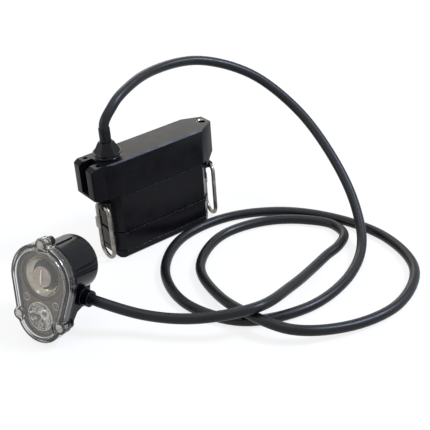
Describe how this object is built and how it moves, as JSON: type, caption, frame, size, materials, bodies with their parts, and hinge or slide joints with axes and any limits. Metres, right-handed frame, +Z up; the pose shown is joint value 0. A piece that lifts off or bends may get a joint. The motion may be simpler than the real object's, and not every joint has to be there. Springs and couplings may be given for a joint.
{
  "type": "cap lamp",
  "caption": "Miner's cap lamp: belt battery with cord fork and swinging belt loops, a looped rubber cord, and a headpiece with main and auxiliary light and a helmet hook.",
  "frame": {"origin": "centre of the battery's foot, on the surface that the battery stands on", "axes": "+X along the battery towards its pointed tip, +Z up"},
  "size_m": [0.298, 0.2489, 0.1383],
  "materials": {
    "case_black": "satin moulded",
    "gland_black": "semi-gloss moulded",
    "head_black": "satin moulded",
    "bracket_black": "satin black",
    "seal_rubber": "matte",
    "cord_rubber": "matte jacket",
    "holder_plastic": "matte",
    "cell_wrap": "shrunk film",
    "nickel": "rolled",
    "circuit_board": "solder mask",
    "board_white": "solder mask",
    "screw_steel": "turned",
    "loop_steel": "drawn wire",
    "hook_steel": "stamped strip",
    "clear_plastic": "clear moulded",
    "lens_clear": "clear moulded",
    "plate_grey": "metallised grey",
    "reflector_chrome": "vacuum metallised",
    "led_yellow": "phosphor",
    "sink_aluminium": "machined",
    "button_rubber": "matte"
  },
  "bodies": {
    "lamp": {"base_cap": "case_black", "battery_case": "case_black", "case_gasket": "seal_rubber", "top_cover": "case_black", "case_screws": "screw_steel", "holder_lower": "holder_plastic", "holder_upper": "holder_plastic", "cell_1": "cell_wrap", "cell_2": "cell_wrap", "cell_3": "cell_wrap", "cell_4": "cell_wrap", "cell_straps": "nickel", "protection_board": "circuit_board", "gland_collar": "gland_black", "gland_seal": "seal_rubber", "gland_nut": "gland_black", "gland_sleeve": "cord_rubber", "cord_end_battery": "cord_rubber", "loop_bracket_near": "bracket_black", "loop_bracket_far": "bracket_black", "bracket_rivets": "screw_steel", "cord": "cord_rubber", "head_housing": "head_black", "rear_cap": "head_black", "cover_seal": "seal_rubber", "clear_cover": "clear_plastic", "cover_screws": "screw_steel", "reflector_plate": "plate_grey", "main_reflector": "reflector_chrome", "main_lens": "lens_clear", "aux_lens": "lens_clear", "indicator_lights": "lens_clear", "main_led": "led_yellow", "led_board": "board_white", "aux_led": "led_yellow", "aux_board": "board_white", "heat_sink": "sink_aluminium", "driver_board": "circuit_board", "switch_bush": "head_black", "tact_switch": "gland_black", "switch_board": "circuit_board", "helmet_hook": "hook_steel", "hook_screws": "screw_steel", "head_gland_body": "head_black", "head_gland_seal": "seal_rubber", "head_gland_nut": "head_black", "cord_end_head": "cord_rubber"},
    "near_loop": {"belt_loop_near": "loop_steel"},
    "far_loop": {"belt_loop_far": "loop_steel"},
    "button": {"switch_button": "button_rubber"}
  },
  "joints": [
    {"name": "near_loop_swing", "type": "hinge", "parent": "lamp", "child": "near_loop", "pos_m": [-0.0522, -0.0053, 0.0494], "axis": [0, 1, 0], "range_deg": [-3, 100]},
    {"name": "far_loop_swing", "type": "hinge", "parent": "lamp", "child": "far_loop", "pos_m": [0.054, -0.0053, 0.0494], "axis": [-0.1805, -0.9836, 0], "range_deg": [-3, 95]},
    {"name": "button_press", "type": "slide", "parent": "lamp", "child": "button", "axis": [0.3736, -0.9266, -0.0426], "range_m": [0, 0.0015], "stiffness_N_per_m": 400, "springref_m": -0.0015}
  ]
}
